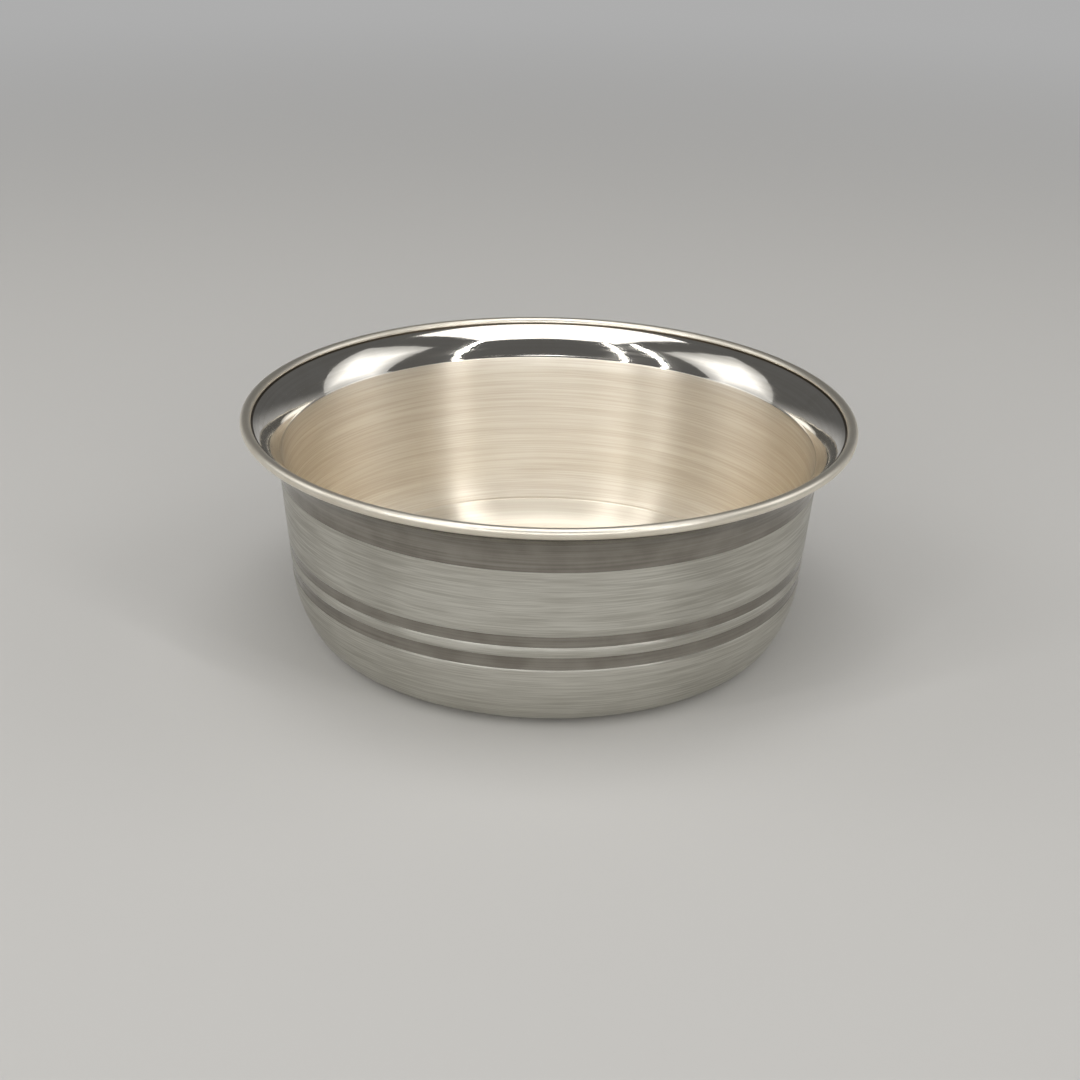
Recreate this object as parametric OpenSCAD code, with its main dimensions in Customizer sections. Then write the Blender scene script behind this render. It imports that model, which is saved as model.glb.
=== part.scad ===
/* [Overall] */
// Outside diameter of the bowl over the rim wire
rim_d = 80; // [72:1:92]
// Height from the table to the top of the rim wire
overall_h = 30; // [26:0.5:40]

/* [Sheet] */
// Thickness of the spun silver sheet
sheet_t = 0.7; // [0.5:0.05:1]

/* [Lip] */
// Radius of the lip's flare, on its underside
flare_r = 6.9; // [5:0.1:9]
// Lean of the lip where it meets the wire, in degrees from upright
lip_lean = 65; // [50:1:72]

/* [Wall] */
// Lean of the wall, in degrees from upright
wall_lean = 5.3; // [2:0.1:8]
// Radius of the belly, where the wall turns in
belly_r = 15.5; // [12:0.5:18]
// Lean of the belly where it meets the heel, in degrees from upright
belly_lean = 31; // [25:1:40]
// Radius of the heel, where the belly turns into the flat base
heel_r = 4.5; // [3:0.25:6]

/* [Rim wire] */
// Diameter of the round wire soldered on the lip's edge
wire_d = 1.4; // [1.3:0.1:2]
// Depth to which the lip's edge sits in the wire
seat_depth = 0.35; // [0.2:0.05:0.5]
// Clearance on each side of the lip in the wire's slot, zero where the solder has drawn it tight
seat_clear = 0; // [0:0.01:0.05]

/* [Polished bands] */
// Distance from the foot of the wall up to the lower band
band_rise = 0.3; // [0.1:0.1:1.5]
// Width of the lower band
lower_band_w = 1.85; // [1:0.05:2.5]
// Distance between the two bands
band_gap = 1.3; // [0.6:0.1:2]
// Width of the upper band
upper_band_w = 1.6; // [1:0.1:2.5]
// Depth to which the bands are turned into the wall
band_depth = 0.08; // [0.04:0.01:0.12]

/* [Turned line] */
// Height above the table of the fine line turned inside the belly
line_z = 4.1; // [3.6:0.1:6]
// Width of the fine line
line_w = 0.3; // [0.2:0.05:0.4]
// Depth of the fine line
line_depth = 0.06; // [0.03:0.01:0.1]

/* [Hidden] */
$fn = 180;

// Unit directions on the half section, where x is across and y is up. A lean is counted from upright:
// along() climbs the sheet, and away() points out of the bowl, square to the sheet.
function along(lean) = [sin(lean), cos(lean)];
function away(lean) = [cos(lean), -sin(lean)];

// Neighbouring faces are tangent. Each lower one stands this little bit further out than the next
// one up, so that the two cross cleanly where they meet and leave no sliver between them.
blend = 0.0002;

// The rim wire's centre. The lip's middle line ends at the seat depth, and points at that centre.
wire_r = wire_d / 2;
wire_c = [rim_d / 2 - wire_r, overall_h - wire_r];
lip_end = wire_c - (wire_r - seat_depth) * along(lip_lean);

// The flare turns about a centre outside the bowl, down to the throat where the wall begins
flare_c = lip_end + (sheet_t / 2 + flare_r) * away(lip_lean);
throat = flare_c - flare_r * away(wall_lean) + [blend, 0];

// The heel ends level with the table, so the heel's and the belly's heights set where the wall stops
heel_h = heel_r * (1 - sin(belly_lean));
belly_h = belly_r * (sin(belly_lean) - sin(wall_lean));
wall_h = throat[1] - belly_h - heel_h;
wall_foot = throat - [wall_h * tan(wall_lean), wall_h];

// The belly's and the heel's centres lie inside the bowl, and the flat base ends below the heel's
belly_c = wall_foot - belly_r * away(wall_lean) + [blend, 0];
heel_c = belly_c + (belly_r - heel_r) * away(belly_lean) + [blend, 0];
base_r = heel_c[0];

// How far a cutting shape runs past the face that it cuts
overrun = sheet_t / 2;

// How far the heel and the belly run on under the next face up, in degrees
lap = 3;

// A slice of a disc about the origin, between two directions in degrees from the x axis.
// The wedge's outer corners lie far enough out for a slice of up to 120 degrees.
module slice(r, from, to) {
    reach = 2 * r;
    middle = (from + to) / 2;
    intersection() {
        circle(r = r);
        polygon([
            [0, 0],
            reach * [cos(from), sin(from)],
            reach * [cos(middle), sin(middle)],
            reach * [cos(to), sin(to)]
        ]);
    }
}

// The half section filled in from the axis out to one face of the sheet, which lies at a depth below
// the outside. The lip's edge is the ray from the flare's centre, square to the sheet.
module filled(depth) {
    past_lip = flare_c - 2 * (flare_r + sheet_t) * away(lip_lean);
    difference() {
        union() {
            polygon([
                [0, depth],
                [base_r, depth],
                belly_c + (belly_r - depth) * away(belly_lean),
                wall_foot - depth * away(wall_lean),
                throat - depth * away(wall_lean),
                flare_c,
                past_lip,
                [0, past_lip[1]]
            ]);
            translate(heel_c)
                slice(heel_r - depth, -90, lap - belly_lean);
            translate(belly_c)
                slice(belly_r - depth, -belly_lean, lap - wall_lean);
        }
        translate(flare_c)
            circle(r = flare_r + depth);
    }
}

// The sheet from the middle of the floor to the lip's edge, or the space that it takes with a clearance
module sheet_section(clear = 0) {
    difference() {
        filled(-clear);
        filled(sheet_t + clear);
    }
}

// A shallow band turned into the outside of the wall, its lower edge a rise up from the wall's foot
module band_cut(rise, width) {
    translate(wall_foot)
        rotate(-wall_lean)
            translate([-band_depth, rise])
                square([band_depth + overrun, width]);
}

// The fine line turned into the inside of the belly, cut from the belly's centre outwards
module line_cut() {
    belly_in_r = belly_r - sheet_t;
    line_lean = asin((belly_c[1] - line_z) / belly_in_r);
    half_turn = line_w / belly_in_r * 90 / PI;
    translate(belly_c)
        slice(belly_in_r + line_depth, -line_lean - half_turn, -line_lean + half_turn);
}

// The spun body: floor, heel, belly, wall, flare and lip are one sheet
module bowl_shell() {
    color("gainsboro")
        rotate_extrude()
            difference() {
                sheet_section();
                band_cut(band_rise, lower_band_w);
                band_cut(band_rise + lower_band_w + band_gap, upper_band_w);
                line_cut();
            }
}

// The ring of round wire that stiffens the lip, with a slot in which the lip's edge sits
module rim_wire() {
    color("silver")
        rotate_extrude()
            difference() {
                translate(wire_c)
                    circle(r = wire_r);
                sheet_section(seat_clear);
            }
}

bowl_shell();
rim_wire();
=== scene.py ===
import math

import bpy
import numpy as np
from mathutils import Matrix, Vector


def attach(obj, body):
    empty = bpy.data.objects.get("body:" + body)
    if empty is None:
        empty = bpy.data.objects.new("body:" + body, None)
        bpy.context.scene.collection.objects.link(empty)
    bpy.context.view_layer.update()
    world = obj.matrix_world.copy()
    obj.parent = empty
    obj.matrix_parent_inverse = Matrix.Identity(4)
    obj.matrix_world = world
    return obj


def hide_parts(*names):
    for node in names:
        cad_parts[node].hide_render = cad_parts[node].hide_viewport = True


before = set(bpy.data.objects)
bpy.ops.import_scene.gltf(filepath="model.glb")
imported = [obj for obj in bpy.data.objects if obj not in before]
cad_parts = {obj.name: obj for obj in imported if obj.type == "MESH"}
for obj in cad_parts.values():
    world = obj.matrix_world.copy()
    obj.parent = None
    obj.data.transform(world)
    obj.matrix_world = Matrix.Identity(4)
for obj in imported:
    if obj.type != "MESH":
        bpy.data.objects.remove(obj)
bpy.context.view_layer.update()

mm = 0.001           # the scene is in metres, and the sizes below are in millimetres
uvLength = 100       # mm along the section that make one unit of the UV map
onAxisWithin = 1e-6  # mm from the axis, within which a point of the section becomes a pole


# sRGB hex colour to linear: each channel is undone by the sRGB curve
def linearColour(hexColour):
    channels = np.array([int(hexColour[i:i + 2], 16) for i in (1, 3, 5)]) / 255
    low = channels / 12.92
    high = ((channels + 0.055) / 1.055) ** 2.4
    return (*np.where(channels <= 0.04045, low, high).tolist(), 1.0)


# Adds one node: its settings are attributes, its inputs are values or the sockets that feed them
def addNode(tree, kind, settings=None, inputs=None):
    node = tree.nodes.new(kind)
    for name, value in (settings or {}).items():
        setattr(node, name, value)
    for name, value in (inputs or {}).items():
        if isinstance(value, bpy.types.NodeSocket):
            tree.links.new(value, node.inputs[name])
        else:
            node.inputs[name].default_value = value
    return node


# What one step of arithmetic gives for values or sockets, on plain numbers and on vectors
def numberMath(tree, operation, *values):
    inputs = dict(enumerate(values))
    return addNode(tree, "ShaderNodeMath", {"operation": operation}, inputs).outputs[0]


def vectorMath(tree, operation, *values):
    inputs = dict(enumerate(values))
    return addNode(tree, "ShaderNodeVectorMath", {"operation": operation}, inputs).outputs[0]


# A new material whose node tree is still empty, and that tree
def newMaterial(name):
    material = bpy.data.materials.new(name)
    material.use_nodes = True
    material.node_tree.nodes.clear()
    return material, material.node_tree


# Shape of the half section

# The bowl's sizes in mm and degrees from upright, the same as the part's own
bowlShape = {
    "rimDiameter": 80.0,
    "height": 30.0,
    "sheet": 0.7,
    "flareRadius": 6.9,
    "lipLean": 65.0,
    "wallLean": 5.3,
    "bellyRadius": 15.5,
    "bellyLean": 31.0,
    "heelRadius": 4.5,
    "bandRise": 0.3,           # from the foot of the wall to the lower band
    "lowerBandWidth": 1.85,
    "bandGap": 1.3,
    "upperBandWidth": 1.6,
    "bandDepth": 0.08,
    "bandEdge": 0.12,          # how far each edge of a band is eased, half of it on each side
    "lineHeight": 4.1,         # of the fine line turned inside, above the table
    "lineWidth": 0.3,
    "lineDepth": 0.06,
    "lineSpread": 1.4,         # the line's dip ends this many half widths from its middle
    "lineClear": 2.0,          # the plain belly begins this many half widths from its middle
    "burnishDrop": 6.8,        # the burnish under the lip ends this far below the wire's centre
    "polishDrop": 4.0,         # the polish inside the lip ends this far below the wire's centre
    "ledgeWidth": 0.9,         # of the low ledge that the polishing wheel leaves where it stops
    "ledgeHeight": 0.045,
    "ledgeRise": 0.15,         # share of the width over which the ledge rises
    "jointWidth": 0.22,        # of the painted shade that shows beside the wire
    "stepsAround": 384,
}

# How many rings each stretch of the section has, from the middle of the base out, up and back down
bowlSteps = {
    "base": 8,
    "heel": 20,
    "belly": 16,
    "footToBand": 1,
    "bandEdge": 2,
    "bandFloor": 4,
    "betweenBands": 2,
    "bandToBurnish": 8,
    "burnishToThroat": 2,
    "flareUnder": 30,
    "joint": 3,
    "lipEdge": 2,
    "flareUpper": 26,
    "ledgeUp": 4,
    "ledgeDown": 6,
    "belowLedge": 10,
    "wallInside": 10,
    "bellyAboveLine": 23,
    "bellyLine": 10,
    "bellyBelowLine": 9,
    "heelInside": 16,
    "floorInside": 10,
}

wireShape = {
    "diameter": 1.4,
    "seat": 0.35,         # how deep the lip's edge sits in the wire
    "stepsAround": 768,
    "stepsOfCircle": 44,
    "stepsOfSlot": 2,     # on each of the slot's three sides
}


# Unit directions on the section, for one lean from upright or a whole array of them: up the sheet,
# and out of the bowl
def alongSheet(lean):
    return np.stack([np.sin(np.radians(lean)), np.cos(np.radians(lean))], axis=-1)


def awayFromSheet(lean):
    return np.stack([np.cos(np.radians(lean)), -np.sin(np.radians(lean))], axis=-1)


# Points on an arc: centre plus radius times the away direction, over evenly spaced leans.
# A hollow arc, such as the flare, lies on the other side of its centre.
def arcPoints(centre, radius, fromLean, toLean, steps, side=1):
    return centre + side * radius * awayFromSheet(np.linspace(fromLean, toLean, steps + 1))


# Points on a straight line, evenly spaced
def linePoints(start, end, steps):
    share = np.linspace(0, 1, steps + 1)[:, None]
    return (1 - share) * np.asarray(start) + share * np.asarray(end)


# The centres and tangent points of the section, worked down from the wire to the base
def sectionPlaces(s, w):
    wireRadius = w["diameter"] / 2
    wireCentre = np.array([s["rimDiameter"] / 2 - wireRadius, s["height"] - wireRadius])
    lipEnd = wireCentre - (wireRadius - w["seat"]) * alongSheet(s["lipLean"])
    flareCentre = lipEnd + (s["sheet"] / 2 + s["flareRadius"]) * awayFromSheet(s["lipLean"])
    throat = flareCentre - s["flareRadius"] * awayFromSheet(s["wallLean"])
    sinBelly = math.sin(math.radians(s["bellyLean"]))
    sinWall = math.sin(math.radians(s["wallLean"]))
    footHeight = s["heelRadius"] * (1 - sinBelly) + s["bellyRadius"] * (sinBelly - sinWall)
    wallHeight = throat[1] - footHeight
    wallFoot = throat - wallHeight * np.array([math.tan(math.radians(s["wallLean"])), 1.0])
    bellyCentre = wallFoot - s["bellyRadius"] * awayFromSheet(s["wallLean"])
    heelCentre = bellyCentre + (s["bellyRadius"] - s["heelRadius"]) * awayFromSheet(s["bellyLean"])
    return dict(wireCentre=wireCentre, wireRadius=wireRadius, flareCentre=flareCentre,
                throat=throat, wallFoot=wallFoot, bellyCentre=bellyCentre, heelCentre=heelCentre)


# Chains stretches of points into one section. Each stretch has a finish, and its first point is the
# last of the stretch before, so it is dropped. Returns the points and each ring's finish.
def chainStretches(stretches):
    points = [stretches[0][0][:1]]
    finishes = []
    for stretch, finish in stretches:
        points.append(stretch[1:])
        finishes += [finish] * (len(stretch) - 1)
    return np.concatenate(points), np.array(finishes)


# A piece of smooth faces from whole arrays: the vertices in mm, all faces' corners in a row, each
# face's number of corners, each corner's UV and each face's place in the list of materials
def pieceFromFaces(name, vertices, corners, sizes, uvs, faceFinish, materials):
    mesh = bpy.data.meshes.new(name)
    mesh.vertices.add(len(vertices))
    mesh.vertices.foreach_set("co", (vertices * mm).reshape(-1))
    mesh.loops.add(len(corners))
    mesh.loops.foreach_set("vertex_index", corners.astype(np.int32))
    mesh.polygons.add(len(sizes))
    starts = np.concatenate([[0], np.cumsum(sizes)[:-1]])
    mesh.polygons.foreach_set("loop_start", starts.astype(np.int32))
    mesh.polygons.foreach_set("material_index", faceFinish.astype(np.int32))
    mesh.polygons.foreach_set("use_smooth", np.ones(len(sizes), dtype=bool))
    mesh.uv_layers.new(name="TurnAndLength").data.foreach_set("uv", uvs.reshape(-1))
    mesh.update(calc_edges=True)
    mesh.validate()
    for material in materials:
        mesh.materials.append(material)
    piece = bpy.data.objects.new(name, mesh)
    bpy.context.scene.collection.objects.link(piece)
    return piece


# Surface of revolution: every section point (r, z) is turned about the Z axis, so that
# x = r cos(turn), y = r sin(turn), z = z. Points on the axis become one pole each. The UV map holds
# the turn as a share of a full turn, and the length along the section over uvLength.
def turnedPiece(name, points, finishes, steps, materials, closed=False):
    turns = np.linspace(0, 2 * np.pi, steps, endpoint=False)
    lengths = np.concatenate([[0], np.cumsum(np.linalg.norm(np.diff(points, axis=0), axis=1))])
    onAxis = points[:, 0] < onAxisWithin
    ringPoints = points[~onAxis]
    ringLengths = lengths[~onAxis]
    x = ringPoints[:, :1] * np.cos(turns)
    y = ringPoints[:, :1] * np.sin(turns)
    z = np.repeat(ringPoints[:, 1:], steps, axis=1)
    vertices = np.stack([x, y, z], axis=-1).reshape(-1, 3)

    rings = len(ringPoints)
    ring = np.arange(rings if closed else rings - 1)[:, None]
    step = np.arange(steps)[None, :]
    nextRing = (ring + 1) % rings
    nextStep = (step + 1) % steps
    quads = np.stack([ring * steps + step, ring * steps + nextStep, nextRing * steps + nextStep,
                      nextRing * steps + step], axis=-1).reshape(-1, 4)
    share = np.stack([step / steps, (step + 1) / steps, (step + 1) / steps, step / steps], axis=-1)
    share = np.broadcast_to(share, (len(ring), steps, 4))
    closedLengths = np.append(ringLengths, lengths[-1] + np.linalg.norm(points[0] - points[-1]))
    low, high = closedLengths[ring], closedLengths[ring + 1]
    rise = np.broadcast_to(np.stack([low, low, high, high], axis=-1), (len(ring), steps, 4))

    corners = [quads.reshape(-1)]
    sizes = [np.full(len(quads), 4)]
    uvs = [np.stack([share, rise / uvLength], axis=-1).reshape(-1, 2)]
    faceFinish = [np.repeat(finishes[1:] if onAxis[0] else finishes, steps)[:len(quads)]]

    # An end that lies on the axis closes with a fan of triangles about its pole, which takes the
    # first or the last finish
    for end, onEnd in ((0, onAxis[0]), (-1, onAxis[-1])):
        if not onEnd:
            continue
        pole = len(vertices)
        vertices = np.concatenate([vertices, [[0, 0, points[end, 1]]]])
        first = 0 if end == 0 else (rings - 1) * steps
        edge = np.stack([first + step[0], first + nextStep[0]], axis=-1)
        if end == 0:
            edge = edge[:, ::-1]
        fan = np.concatenate([np.full((steps, 1), pole), edge], axis=1)
        corners.append(fan.reshape(-1))
        sizes.append(np.full(steps, 3))
        edgeLength = ringLengths[0 if end == 0 else -1]
        turn = step[0] / steps
        fanTurns = np.stack([turn, turn, turn + 1 / steps], axis=-1)
        fanLengths = np.broadcast_to([lengths[end], edgeLength, edgeLength], (steps, 3))
        uvs.append(np.stack([fanTurns, fanLengths / uvLength], axis=-1).reshape(-1, 2))
        faceFinish.append(np.full(steps, finishes[end]))

    return pieceFromFaces(name, vertices, np.concatenate(corners), np.concatenate(sizes),
                          np.concatenate(uvs), np.concatenate(faceFinish), materials)


# Finishes

# Fine silver inside the bowl, spun and then rubbed with a pad as it turned. The eye gets a soft
# white metal with long lines round the bowl, whose highlights run as upright columns.
satinInside = {
    "colour": "#FCF5E7",
    "colourInLines": "#EADFCE",
    "roughness": 0.42,
    "roughnessSpread": 0.08,
    "anisotropy": 0.90,
    "fineLine": 0.20,      # mm, wider than the 0.05 mm that a pad's grit leaves, so that it shows
    "fineLength": 18.0,    # mm, how far a fine line runs
    "fineShare": 0.36,     # of the fine lines in the colour and the roughness
    "fineHeight": 0.0024,  # mm
    "broadLine": 1.1,      # mm
    "broadLength": 45.0,   # mm
    "broadHeight": 0.016,  # mm
    "cloudSize": 14.0,     # mm, of the patches where the pad bore harder
}

# The same silver outside, rubbed by hand with an abrasive strip. The eye gets shorter lines that
# stand closer together. Its colours are greyer than the inside's: painted shade on the same silver.
satinOutsidePaintedShade = {
    "colour": "#D2D0C7",
    "colourInLines": "#B8B5AB",
    "roughness": 0.40,
    "roughnessSpread": 0.08,
    "anisotropy": 0.86,
    "fineLine": 0.17,
    "fineLength": 8.0,
    "fineShare": 0.42,
    "fineHeight": 0.0032,
    "broadLine": 0.42,
    "broadLength": 16.0,
    "broadHeight": 0.0060,
    "cloudSize": 11.0,
}

# The bottom inside the turned line, cut with a fine tool and not rubbed. The eye gets a closer and
# smoother grain than on the wall.
turnedBottom = {
    "colour": "#FBF4E4",
    "colourInLines": "#EEE4D4",
    "roughness": 0.40,
    "roughnessSpread": 0.05,
    "anisotropy": 0.96,
    "fineLine": 0.14,
    "fineLength": 25.0,
    "fineShare": 0.30,
    "fineHeight": 0.0010,
    "broadLine": 0.7,
    "broadLength": 60.0,
    "broadHeight": 0.0030,
    "cloudSize": 16.0,
}

# Silver buffed on a wheel over the marks of the spinning tool. The eye gets a clear mirror whose
# reflections are drawn out a little round the lip.
polishedSilver = {
    "colour": "#F8F4EC",
    "colourInLines": "#EDE8DE",
    "roughness": 0.07,
    "roughnessSpread": 0.07,
    "waveSize": 9.0,       # mm
    "waveHeight": 0.040,   # mm
    "lineWidth": 0.45,     # mm
    "lineLength": 38.0,    # mm
    "lineHeight": 0.0025,  # mm
}

# The rim's wire, buffed with the lip and then worn by fingers. The eye gets a softer shine than
# the lip's, so that the rim shows as one bright line.
wornWire = {
    "colour": "#F8F2E4",
    "colourInLines": "#E8E0D0",
    "roughness": 0.38,
    "roughnessSpread": 0.06,
    "waveSize": 9.0,
    "waveHeight": 0.006,
    "lineWidth": 0.80,
    "lineLength": 30.0,
    "lineHeight": 0.0003,
}

# The turned bands and the underside of the lip, burnished with a hard tool. The eye gets smooth
# grey
# rings, darker than the satin beside them: the dark grey colours are a painted dark reflection.
burnishedBandPaintedDark = {
    "colour": "#9E9A92",
    "colourInLines": "#868179",
    "roughness": 0.14,
    "roughnessSpread": 0.08,
    "waveSize": 7.0,
    "waveHeight": 0.020,
    "lineWidth": 0.30,
    "lineLength": 20.0,
    "lineHeight": 0.0040,
}

# Painted shade in the crease of the joint between the lip and the wire.
# The eye gets a hair line of brown that parts the two.
jointPaintedShade = {
    "colour": "#6A6052",
    "colourInLines": "#4E4538",
    "roughness": 0.38,
    "roughnessSpread": 0.12,
    "waveSize": 3.0,
    "waveHeight": 0.0020,
    "lineWidth": 0.15,
    "lineLength": 4.0,
    "lineHeight": 0.0010,
}


# How the patterns of every satin finish are put together
satinMix = {
    "detail": 2.0,          # how many times the noise is repeated at half the size
    "grooveBelow": 0.36,    # the fine noise is all groove below this, and all ridge above the next
    "ridgeAbove": 0.64,
    "broadShare": 1.0,      # of the broad lines in the colour and the roughness
    "cloudShare": 0.6,      # of the clouds in them
    "reach": 0.3,           # how far each side of its middle the sum still changes them
    "highlightTurn": 0.25,  # of a full turn, which stands the highlights upright
}

# How the patterns of every polished finish are put together
polishMix = {
    "detail": 1.0,
    "cloudSize": 4.0,    # mm, of the patches of wear
    "cloudDetail": 4.0,
    "lineShare": 1.0,
    "cloudShare": 1.0,
    "low": 0.75,         # the colour and the roughness change as the sum goes from this
    "high": 1.25,        # to this
}

finerShare = 0.55  # how strong each finer repeat of the line noise is beside the one before


# Coordinates that follow the piece: the direction round the axis, which has no seam, times the
# bowl's radius over a line's length, and the length along the section over a line's width
def turnedCoordinates(tree, lineLength, lineWidth):
    position = addNode(tree, "ShaderNodeTexCoord").outputs["Object"]
    outward = vectorMath(tree, "NORMALIZE", vectorMath(tree, "MULTIPLY", position, (1, 1, 0)))
    spread = addNode(tree, "ShaderNodeVectorMath", {"operation": "SCALE"},
                     {0: outward, "Scale": bowlShape["rimDiameter"] / 2 / lineLength}).outputs[0]
    uv = addNode(tree, "ShaderNodeUVMap", {"uv_map": "TurnAndLength"}).outputs[0]
    length = addNode(tree, "ShaderNodeSeparateXYZ", None, {0: uv}).outputs["Y"]
    lines = numberMath(tree, "MULTIPLY", length, uvLength / lineWidth)
    rise = addNode(tree, "ShaderNodeCombineXYZ", None, {"Z": lines}).outputs[0]
    return vectorMath(tree, "ADD", spread, rise)


# The direction round the bowl at each point: the Z axis crossed with the place
def roundTangent(tree):
    position = addNode(tree, "ShaderNodeTexCoord").outputs["Object"]
    return vectorMath(tree, "NORMALIZE", vectorMath(tree, "CROSS_PRODUCT", (0, 0, 1), position))


# Noise drawn out along lines of a length and width in mm, to which the detail adds finer ones
def lineNoise(tree, length, width, detail):
    return addNode(tree, "ShaderNodeTexNoise", None,
                   {"Vector": turnedCoordinates(tree, length, width), "Scale": 1.0,
                    "Detail": detail, "Roughness": finerShare}).outputs["Fac"]


# Noise in all directions alike, in patches of a size in mm
def cloudNoise(tree, size, detail):
    position = addNode(tree, "ShaderNodeTexCoord").outputs["Object"]
    return addNode(tree, "ShaderNodeTexNoise", None,
                   {"Vector": position, "Scale": 1 / (size * mm), "Detail": detail}).outputs["Fac"]


# The sum of each pattern times its share
def addPatterns(tree, *patterns):
    total = 0.0
    for pattern, share in patterns:
        total = numberMath(tree, "MULTIPLY_ADD", pattern, share, total)
    return total


# A colour that goes evenly from the first to the second as the pattern goes from low to high. The
# node's sockets go by number here, because those for vectors have the names of those for numbers.
def colourBetween(tree, pattern, low, high, first, second):
    return addNode(tree, "ShaderNodeMapRange", {"data_type": "FLOAT_VECTOR"},
                   {"Vector": pattern, 7: (low,) * 3, 8: (high,) * 3, 9: linearColour(first)[:3],
                    10: linearColour(second)[:3]}).outputs["Vector"]


# A value that goes evenly from the middle less half the spread to the middle plus half of it
def spreadAbout(tree, pattern, low, high, middle, spread):
    return addNode(tree, "ShaderNodeMapRange", None,
                   {"Value": pattern, "From Min": low, "From Max": high,
                    "To Min": middle - spread / 2, "To Max": middle + spread / 2}).outputs[0]


# Raises the surface by a pattern times a height in mm, on top of any earlier relief
def raiseBy(tree, pattern, height, under=None):
    inputs = {"Height": pattern, "Strength": 1.0, "Distance": height * mm}
    if under:
        inputs["Normal"] = under
    return addNode(tree, "ShaderNodeBump", None, inputs).outputs[0]


# Satin: fine and broad lines round the bowl change the colour, the roughness and the height, and
# slow clouds change the colour and the roughness. The grooves are darker and rougher.
def makeSatin(name, values):
    material, tree = newMaterial(name)
    fine = lineNoise(tree, values["fineLength"], values["fineLine"], satinMix["detail"])
    broad = lineNoise(tree, values["broadLength"], values["broadLine"], satinMix["detail"])
    sharp = addNode(tree, "ShaderNodeMapRange", {"interpolation_type": "SMOOTHSTEP"},
                    {"Value": fine, "From Min": satinMix["grooveBelow"],
                     "From Max": satinMix["ridgeAbove"]}).outputs[0]
    clouds = cloudNoise(tree, values["cloudSize"], satinMix["detail"])
    lines = addPatterns(tree, (sharp, values["fineShare"]), (broad, satinMix["broadShare"]),
                        (clouds, satinMix["cloudShare"]))

    # Every pattern's middle is a half, so the middle of their sum is half the sum of the shares
    middle = values["fineShare"] / 2 + (satinMix["broadShare"] + satinMix["cloudShare"]) / 2
    low, high = middle - satinMix["reach"], middle + satinMix["reach"]
    relief = raiseBy(tree, fine, values["fineHeight"], raiseBy(tree, broad, values["broadHeight"]))
    shader = addNode(tree, "ShaderNodeBsdfPrincipled", None,
                     {"Base Color": colourBetween(tree, lines, low, high, values["colourInLines"],
                                                  values["colour"]),
                      "Metallic": 1.0,
                      "Roughness": spreadAbout(tree, lines, low, high, values["roughness"],
                                               -values["roughnessSpread"]),
                      "Anisotropic": values["anisotropy"],
                      "Anisotropic Rotation": satinMix["highlightTurn"],
                      "Tangent": roundTangent(tree), "Normal": relief})
    addNode(tree, "ShaderNodeOutputMaterial", None, {"Surface": shader.outputs[0]})
    return material


# Polish: a slow wave and the tool's lines change the height, and the lines and clouds of wear
# change the colour and the roughness. More wear is darker and rougher.
def makePolish(name, values):
    material, tree = newMaterial(name)
    wave = cloudNoise(tree, values["waveSize"], polishMix["detail"])
    lines = lineNoise(tree, values["lineLength"], values["lineWidth"], polishMix["detail"])
    clouds = cloudNoise(tree, polishMix["cloudSize"], polishMix["cloudDetail"])
    wear = addPatterns(tree, (lines, polishMix["lineShare"]), (clouds, polishMix["cloudShare"]))
    low, high = polishMix["low"], polishMix["high"]
    relief = raiseBy(tree, lines, values["lineHeight"], raiseBy(tree, wave, values["waveHeight"]))
    shader = addNode(tree, "ShaderNodeBsdfPrincipled", None,
                     {"Base Color": colourBetween(tree, wear, low, high, values["colour"],
                                                  values["colourInLines"]),
                      "Metallic": 1.0,
                      "Roughness": spreadAbout(tree, wear, low, high, values["roughness"],
                                               values["roughnessSpread"]),
                      "Normal": relief})
    addNode(tree, "ShaderNodeOutputMaterial", None, {"Surface": shader.outputs[0]})
    return material


bowlFinishes = [
    makeSatin("satinSilverInside", satinInside),
    # the outside's greyer colours are painted shade
    makeSatin("satinSilverOutsidePaintedShade", satinOutsidePaintedShade),
    makeSatin("turnedSilverBottom", turnedBottom),
    makePolish("polishedSilver", polishedSilver),
    makePolish("burnishedBandPaintedDark", burnishedBandPaintedDark),
    makePolish("jointPaintedShade", jointPaintedShade),
]
wireFinishes = [makePolish("wornWire", wornWire)]
print("materials made")


# Pieces

inside, outside, bottom, polish, band, joint = range(len(bowlFinishes))  # places in bowlFinishes
places = sectionPlaces(bowlShape, wireShape)


# A face of the flare, of this radius, from one lean to another
def flareArc(radius, fromLean, toLean, steps):
    return arcPoints(places["flareCentre"], radius, fromLean, toLean, steps, side=-1)


# The lean at which such a face is this far below the wire's centre
def flareLeanAtDrop(drop, radius):
    height = places["wireCentre"][1] - drop - places["flareCentre"][1]
    return math.degrees(math.asin(height / radius))


# A turned band: the wall steps in over a short eased edge, runs level and steps out again. The
# edges are satin, so that they don't glint.
def bandStretches(start, width, s):
    along, inward = alongSheet(s["wallLean"]), -awayFromSheet(s["wallLean"])
    halfEdge = s["bandEdge"] / 2 * along
    end = start + width * along
    floorStart = start + halfEdge + s["bandDepth"] * inward
    floorEnd = end - halfEdge + s["bandDepth"] * inward
    return [(linePoints(start - halfEdge, floorStart, bowlSteps["bandEdge"]), outside),
            (linePoints(floorStart, floorEnd, bowlSteps["bandFloor"]), band),
            (linePoints(floorEnd, end + halfEdge, bowlSteps["bandEdge"]), outside)]


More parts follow.
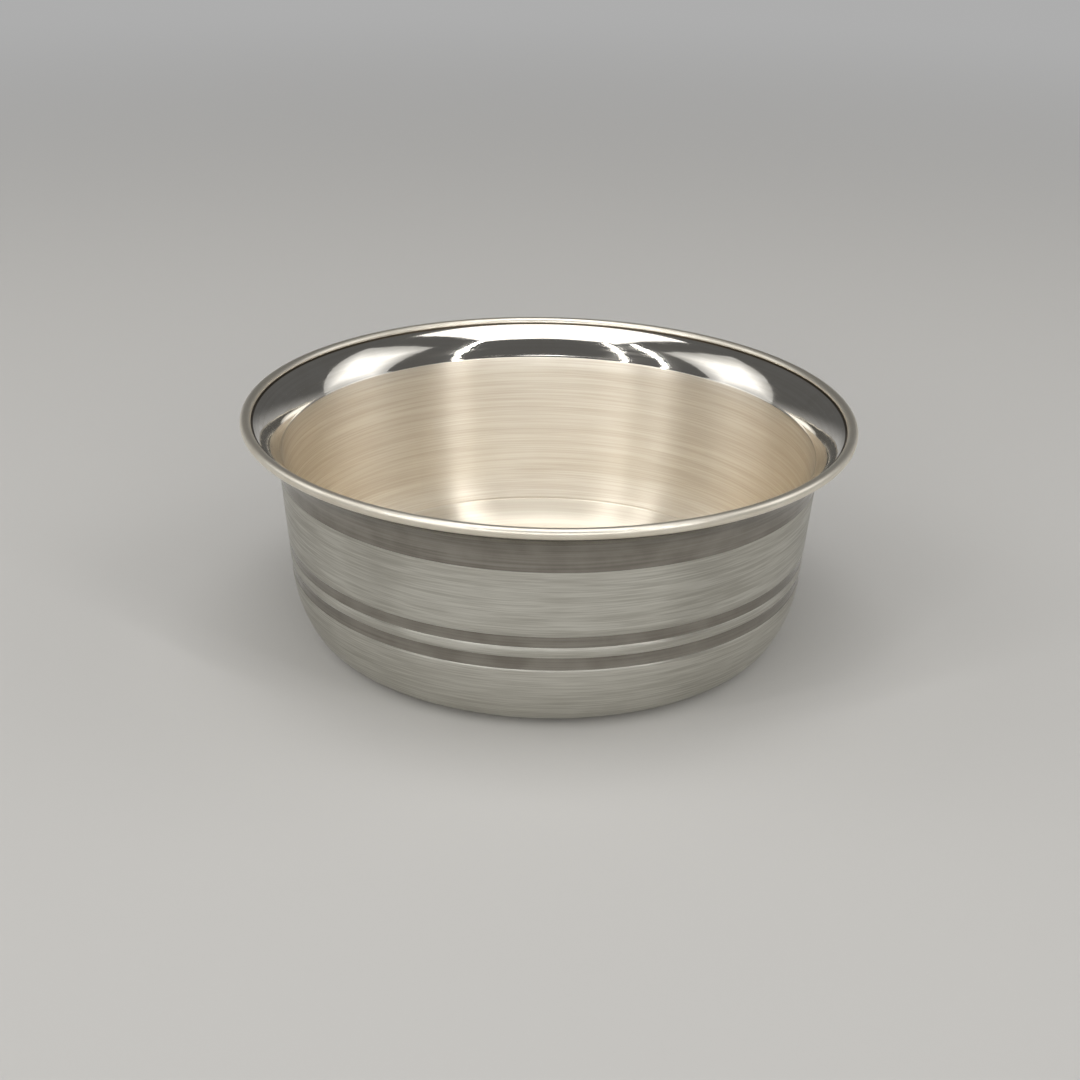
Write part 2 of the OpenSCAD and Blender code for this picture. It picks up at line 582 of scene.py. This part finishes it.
# The inner arc of the belly with its fine line, where it dips by the line's depth and rises again
# in the shape of one cosine wave
def innerBellyPoints(s):
    radius = s["bellyRadius"] - s["sheet"]
    lineLean = math.degrees(math.asin((places["bellyCentre"][1] - s["lineHeight"]) / radius))
    halfLean = math.degrees(s["lineWidth"] / 2 / radius)
    spread, clear = s["lineSpread"] * halfLean, s["lineClear"] * halfLean
    leans = np.concatenate([
        np.linspace(s["wallLean"], lineLean - clear, bowlSteps["bellyAboveLine"] + 1),
        np.linspace(lineLean - spread, lineLean + spread, bowlSteps["bellyLine"] + 1),
        np.linspace(lineLean + clear, s["bellyLean"], bowlSteps["bellyBelowLine"] + 1)])
    offset = np.abs(leans - lineLean) / halfLean
    dip = s["lineDepth"] * (0.5 + 0.5 * np.cos(np.pi * np.clip(offset / s["lineSpread"], 0, 1)))
    return places["bellyCentre"] + (radius + dip)[:, None] * awayFromSheet(leans)


# The ledge below the lip's polish: the inner arc rises by the ledge's height and falls back, each
# way in the shape of half a cosine wave
def ledgePoints(s, fromLean, toLean):
    share = np.concatenate([np.linspace(0, s["ledgeRise"], bowlSteps["ledgeUp"] + 1),
                            np.linspace(s["ledgeRise"], 1, bowlSteps["ledgeDown"] + 1)[1:]])
    level = np.minimum(share / s["ledgeRise"], (1 - share) / (1 - s["ledgeRise"]))
    radii = s["flareRadius"] + s["sheet"] + s["ledgeHeight"] * (0.5 - 0.5 * np.cos(np.pi * level))
    leans = fromLean + (toLean - fromLean) * share
    return places["flareCentre"] - radii[:, None] * awayFromSheet(leans)


# The spun sheet, from the middle of the base out, up to the lip, over its edge and back down inside
def makeBowlShell(s):
    steps, sheet = bowlSteps, s["sheet"]
    wallLean, lipLean, bellyLean = s["wallLean"], s["lipLean"], s["bellyLean"]
    foot, throat, flare = places["wallFoot"], places["throat"], places["flareCentre"]
    belly, heel = places["bellyCentre"], places["heelCentre"]
    baseEdge = np.array([heel[0], 0.0])

    # Up the outside of the wall past its bands, to where the burnish under the lip begins
    along = alongSheet(wallLean)
    halfEdge = s["bandEdge"] / 2 * along
    lowerStart = foot + s["bandRise"] * along
    lowerEnd = lowerStart + s["lowerBandWidth"] * along
    upperStart = lowerEnd + s["bandGap"] * along
    upperEnd = upperStart + s["upperBandWidth"] * along
    burnishHeight = places["wireCentre"][1] - s["burnishDrop"]
    burnishStart = foot + (burnishHeight - foot[1]) / along[1] * along

    # The flare's two faces, and where the polish and then the ledge end inside
    outerRadius, innerRadius = s["flareRadius"], s["flareRadius"] + sheet
    lipUnder = flare - outerRadius * awayFromSheet(lipLean)
    lipUpper = flare - innerRadius * awayFromSheet(lipLean)
    polishLean = flareLeanAtDrop(s["polishDrop"], innerRadius)
    ledgeLean = polishLean - math.degrees(s["ledgeWidth"] / innerRadius)

    # The joint's painted shade runs from inside the wire to a little way out of it
    reach = wireShape["seat"] + s["jointWidth"]
    underJoint = lipLean - math.degrees(reach / outerRadius)
    upperJoint = lipLean - math.degrees(reach / innerRadius)

    # Down the inside, where the bottom's finish begins below the turned line
    innerThroat = throat - sheet * awayFromSheet(wallLean)
    innerFoot = foot - sheet * awayFromSheet(wallLean)
    innerBelly = innerBellyPoints(s)
    belowLine = steps["bellyBelowLine"] + 1

    stretches = [
        (linePoints((0, 0), baseEdge, steps["base"]), outside),
        (arcPoints(heel, s["heelRadius"], 90, bellyLean, steps["heel"]), outside),
        (arcPoints(belly, s["bellyRadius"], bellyLean, wallLean, steps["belly"]), outside),
        (linePoints(foot, lowerStart - halfEdge, steps["footToBand"]), outside),
        *bandStretches(lowerStart, s["lowerBandWidth"], s),
        (linePoints(lowerEnd + halfEdge, upperStart - halfEdge, steps["betweenBands"]), outside),
        *bandStretches(upperStart, s["upperBandWidth"], s),
        (linePoints(upperEnd + halfEdge, burnishStart, steps["bandToBurnish"]), outside),
        # The underside of the lip takes the band finish, with its painted dark reflection
        (linePoints(burnishStart, throat, steps["burnishToThroat"]), band),
        (flareArc(outerRadius, wallLean, underJoint, steps["flareUnder"]), band),
        (flareArc(outerRadius, underJoint, lipLean, steps["joint"]), joint),
        (linePoints(lipUnder, lipUpper, steps["lipEdge"]), joint),
        (flareArc(innerRadius, lipLean, upperJoint, steps["joint"]), joint),
        (flareArc(innerRadius, upperJoint, polishLean, steps["flareUpper"]), polish),
        (ledgePoints(s, polishLean, ledgeLean), inside),
        (flareArc(innerRadius, ledgeLean, wallLean, steps["belowLedge"]), inside),
        (linePoints(innerThroat, innerFoot, steps["wallInside"]), inside),
        (innerBelly[:-belowLine], inside),
        (innerBelly[-belowLine - 1:], bottom),
        (arcPoints(heel, s["heelRadius"] - sheet, bellyLean, 90, steps["heelInside"]), bottom),
        (linePoints((baseEdge[0], sheet), (0, sheet), steps["floorInside"]), bottom),
    ]
    points, finishes = chainStretches(stretches)
    piece = turnedPiece("bowlShell", points, finishes, s["stepsAround"], bowlFinishes)
    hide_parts("bowl_shell")
    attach(piece, "root")
    return piece


# The rim wire: its section is a circle that opens into the slot in which the lip's edge sits.
# The slot's sides are the lip's own faces, so they are arcs about the flare's centre.
def makeRimWire(w, s):
    centre, radius = places["wireCentre"], places["wireRadius"]
    flare = places["flareCentre"]
    under, upper = s["flareRadius"], s["flareRadius"] + s["sheet"]

    # Where a circle of this radius about the flare's centre crosses the wire's circle, at the
    # crossing nearer to the bowl's axis
    def crossing(faceRadius):
        gap = centre - flare
        distance = np.linalg.norm(gap)
        along = (distance ** 2 + faceRadius ** 2 - radius ** 2) / (2 * distance)
        across = math.sqrt(faceRadius ** 2 - along ** 2)
        unit = gap / distance
        return flare + along * unit + across * np.array([-unit[1], unit[0]])

    lowMouth, highMouth = crossing(under), crossing(upper)
    lowLean = math.degrees(math.atan2(lowMouth[1] - flare[1], flare[0] - lowMouth[0]))
    highLean = math.degrees(math.atan2(highMouth[1] - flare[1], flare[0] - highMouth[0]))
    lowAngle = math.atan2(*(lowMouth - centre)[::-1])
    highAngle = math.atan2(*(highMouth - centre)[::-1]) % (2 * math.pi)
    angles = np.linspace(lowAngle, highAngle, w["stepsOfCircle"] + 1)
    ringPoints = centre + radius * np.stack([np.cos(angles), np.sin(angles)], axis=1)
    slotEndUpper = flare - upper * awayFromSheet(s["lipLean"])
    slotEndUnder = flare - under * awayFromSheet(s["lipLean"])
    slotSteps = w["stepsOfSlot"]
    wornFinish = 0  # place in wireFinishes
    stretches = [
        (ringPoints, wornFinish),
        (flareArc(upper, highLean, s["lipLean"], slotSteps), wornFinish),
        (linePoints(slotEndUpper, slotEndUnder, slotSteps), wornFinish),
        (flareArc(under, s["lipLean"], lowLean, slotSteps)[:-1], wornFinish),
    ]
    points, finishes = chainStretches(stretches)
    finishes = np.append(finishes, wornFinish)  # of the ring that closes the section
    piece = turnedPiece("rimWire", points, finishes, w["stepsAround"], wireFinishes, closed=True)
    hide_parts("rim_wire")
    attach(piece, "root")
    return piece


bowlShell = makeBowlShell(bowlShape)
print("bowl shell made,", len(bowlShell.data.polygons), "faces")
rimWire = makeRimWire(wireShape, bowlShape)
print("rim wire made,", len(rimWire.data.polygons), "faces")


# Stage

# A round floor of pale matte card. Far from the bowl, where the lamps don't reach, it takes the
# tone of the horizon, so that it runs into the background without an edge.
stageShape = {
    "colour": "#CCCAC6",
    "cardRoughness": 0.9,
    "cardSpecular": 0.2,
    "radii": (0.1, 0.3, 0.8, 2.0, 6.0),  # metres, of the floor's rings
    "steps": 96,                         # round each ring
    "drop": 0.00002,     # metres below the base, so that the two faces don't coincide
    "fadeFrom": 0.16,    # metres from the bowl, where the floor starts to take the horizon's tone
    "fadeTo": 0.52,
    "horizon": 0.42,     # brightness, where 1 is white
    "overhead": 0.10,
    "horizonTop": 16.0,  # degrees above the floor at which the background has its overhead tone
}


# One where the camera, a reflection or a transmission sees the surface, and zero for any other ray
def seenDirectly(tree):
    path = addNode(tree, "ShaderNodeLightPath").outputs
    either = numberMath(tree, "MAXIMUM", path["Is Camera Ray"], path["Is Glossy Ray"])
    return numberMath(tree, "MAXIMUM", either, path["Is Transmission Ray"])


# The floor: rings of points at growing radii, each ring a circle of even steps about the Z axis
def makeStage(s):
    radii = np.array(s["radii"])
    turns = np.linspace(0, 2 * np.pi, s["steps"], endpoint=False)
    x, y = np.outer(radii, np.cos(turns)), np.outer(radii, np.sin(turns))
    vertices = np.stack([x, y, np.full_like(x, -s["drop"])], axis=-1).reshape(-1, 3)
    ring = np.arange(len(radii) - 1)[:, None] * s["steps"]
    step = np.arange(s["steps"])[None]
    nextStep = (step + 1) % s["steps"]
    outer = ring + s["steps"]
    quads = np.stack([ring + step, outer + step, outer + nextStep, ring + nextStep], axis=-1)
    mesh = bpy.data.meshes.new("studioFloor")
    mesh.from_pydata(vertices.tolist(), [], [step[0].tolist(), *quads.reshape(-1, 4).tolist()])

    # Pale matte card, which gives the eye nothing but its tone
    material, tree = newMaterial("matteCard")
    card = addNode(tree, "ShaderNodeBsdfPrincipled", None,
                   {"Base Color": linearColour(s["colour"]), "Roughness": s["cardRoughness"],
                    "Specular IOR Level": s["cardSpecular"]})
    glow = addNode(tree, "ShaderNodeEmission", None, {"Strength": s["horizon"]})
    position = addNode(tree, "ShaderNodeTexCoord").outputs["Object"]
    distance = addNode(tree, "ShaderNodeVectorMath", {"operation": "LENGTH"}, {0: position})
    fade = addNode(tree, "ShaderNodeMapRange", {"interpolation_type": "SMOOTHSTEP"},
                   {"Value": distance.outputs["Value"], "From Min": s["fadeFrom"],
                    "From Max": s["fadeTo"]})
    share = numberMath(tree, "MULTIPLY", fade.outputs[0], seenDirectly(tree))
    mixed = addNode(tree, "ShaderNodeMixShader", None,
                    {0: share, 1: card.outputs[0], 2: glow.outputs[0]})
    addNode(tree, "ShaderNodeOutputMaterial", None, {"Surface": mixed.outputs[0]})
    mesh.materials.append(material)
    floor = bpy.data.objects.new("studioFloor", mesh)
    bpy.context.scene.collection.objects.link(floor)


# The world: the horizon's tone at the floor, which falls smoothly to the overhead tone. The height
# of a direction is its Z part.
def makeWorld(s):
    world = bpy.data.worlds.new("studioWorld")
    world.use_nodes = True
    tree = world.node_tree
    tree.nodes.clear()
    direction = addNode(tree, "ShaderNodeTexCoord").outputs["Generated"]
    height = addNode(tree, "ShaderNodeSeparateXYZ", None, {0: direction})
    level = addNode(tree, "ShaderNodeMapRange", {"interpolation_type": "SMOOTHSTEP"},
                    {"Value": height.outputs["Z"], "From Min": 0.0,
                     "From Max": math.sin(math.radians(s["horizonTop"])),
                     "To Min": s["horizon"], "To Max": s["overhead"]})
    background = addNode(tree, "ShaderNodeBackground", None,
                         {"Color": (1, 1, 1, 1), "Strength": level.outputs[0]})
    addNode(tree, "ShaderNodeOutputWorld", None, {"Surface": background.outputs[0]})
    bpy.context.scene.world = world


makeWorld(stageShape)
makeStage(stageShape)
print("stage and world made")


# Lights

# Angles are in degrees, and distances and sizes in metres. Azimuth is counted from +X towards +Y,
# and every lamp faces the bowl. A lamp's edge is the share of its middle's brightness that is left
# at its rim.
lamps = {
    "rightSoftbox": {"azimuth": 10, "elevation": 34, "distance": 0.62, "size": (0.42, 0.54),
                     "radiance": 1.4, "edge": 0.3},
    "leftSoftbox": {"azimuth": 172, "elevation": 34, "distance": 0.62, "size": (0.42, 0.54),
                    "radiance": 1.4, "edge": 0.3},
    "overheadSoftbox": {"azimuth": -90, "elevation": 88, "distance": 0.7, "size": (0.52, 0.50),
                        "radiance": 3.0, "edge": 0.5},
    "frontSoftbox": {"azimuth": -90, "elevation": 22, "distance": 0.9, "size": (1.0, 0.20),
                     "radiance": 4.0, "edge": 0.8},
    "frontRightStrip": {"azimuth": -44, "elevation": 38, "distance": 0.7, "size": (0.014, 0.64),
                        "radiance": 40.0, "edge": 0.6},
    "frontLeftStrip": {"azimuth": -126, "elevation": 38, "distance": 0.7, "size": (0.012, 0.64),
                       "radiance": 26.0, "edge": 0.6},
    "leftStrip": {"azimuth": -146, "elevation": 38, "distance": 0.7, "size": (0.014, 0.64),
                  "radiance": 34.0, "edge": 0.6},
}

lampAim = Vector((0, 0, 0.015))  # metres, at half the bowl's height
evenWithin = 0.1                 # share of a lamp's size from its middle, still at full brightness
halfLamp = 0.5                   # share of a lamp's size between its middle and its rim


# An area lamp's power is its radiance times pi times its area. Its brightness falls off smoothly
# from the middle to the rim, by the larger of the two distances from the middle.
def makeLamp(name, values):
    azimuth, elevation = math.radians(values["azimuth"]), math.radians(values["elevation"])
    outward = Vector((math.cos(elevation) * math.cos(azimuth),
                      math.cos(elevation) * math.sin(azimuth), math.sin(elevation)))
    data = bpy.data.lights.new(name, "AREA")
    data.shape = "RECTANGLE"
    data.size, data.size_y = values["size"]
    data.energy = values["radiance"] * math.pi * data.size * data.size_y
    data.use_nodes = True
    tree = data.node_tree
    tree.nodes.clear()
    place = addNode(tree, "ShaderNodeNewGeometry").outputs["Parametric"]
    fromMiddle = vectorMath(tree, "SUBTRACT", place, (halfLamp, halfLamp, 0))
    distances = vectorMath(tree, "ABSOLUTE", fromMiddle)
    parts = addNode(tree, "ShaderNodeSeparateXYZ", None, {0: distances}).outputs
    larger = numberMath(tree, "MAXIMUM", parts["X"], parts["Y"])
    level = addNode(tree, "ShaderNodeMapRange", {"interpolation_type": "SMOOTHSTEP"},
                    {"Value": larger, "From Min": evenWithin, "From Max": halfLamp,
                     "To Min": 1.0, "To Max": values["edge"]})
    glow = addNode(tree, "ShaderNodeEmission", None, {"Strength": level.outputs[0]})
    addNode(tree, "ShaderNodeOutputLight", None, {"Surface": glow.outputs[0]})
    lamp = bpy.data.objects.new(name, data)
    lamp.location = lampAim + outward * values["distance"]
    lamp.rotation_euler = (-outward).to_track_quat("-Z", "Y").to_euler()
    bpy.context.scene.collection.objects.link(lamp)


for lampName, lampValues in lamps.items():
    makeLamp(lampName, lampValues)

print("lamps made")


# Camera

# Fitted to the photograph, in mm and degrees
cameraValues = {
    "place": (0.0, -245.568, 119.452),
    "aim": (-0.8416, 0.0, 11.200),
    "roll": 1.237,
    "lens": 66.667,
    "sensor": 36.0,
    "clipFrom": 10.0,
    "clipTo": 20000.0,
}


# The camera looks from its place at its aim, and the roll turns it about that line
def makeCamera(values):
    data = bpy.data.cameras.new("photoCamera")
    data.sensor_width = values["sensor"]
    data.lens = values["lens"]
    data.clip_start = values["clipFrom"] * mm
    data.clip_end = values["clipTo"] * mm
    camera = bpy.data.objects.new("photoCamera", data)
    place, aim = Vector(values["place"]) * mm, Vector(values["aim"]) * mm
    turn = (aim - place).to_track_quat("-Z", "Y").to_matrix().to_4x4()
    roll = Matrix.Rotation(math.radians(values["roll"]), 4, "Z")
    camera.matrix_world = Matrix.Translation(place) @ turn @ roll
    bpy.context.scene.collection.objects.link(camera)
    bpy.context.scene.camera = camera


makeCamera(cameraValues)
bpy.context.scene.view_settings.view_transform = "Standard"
print("camera made")
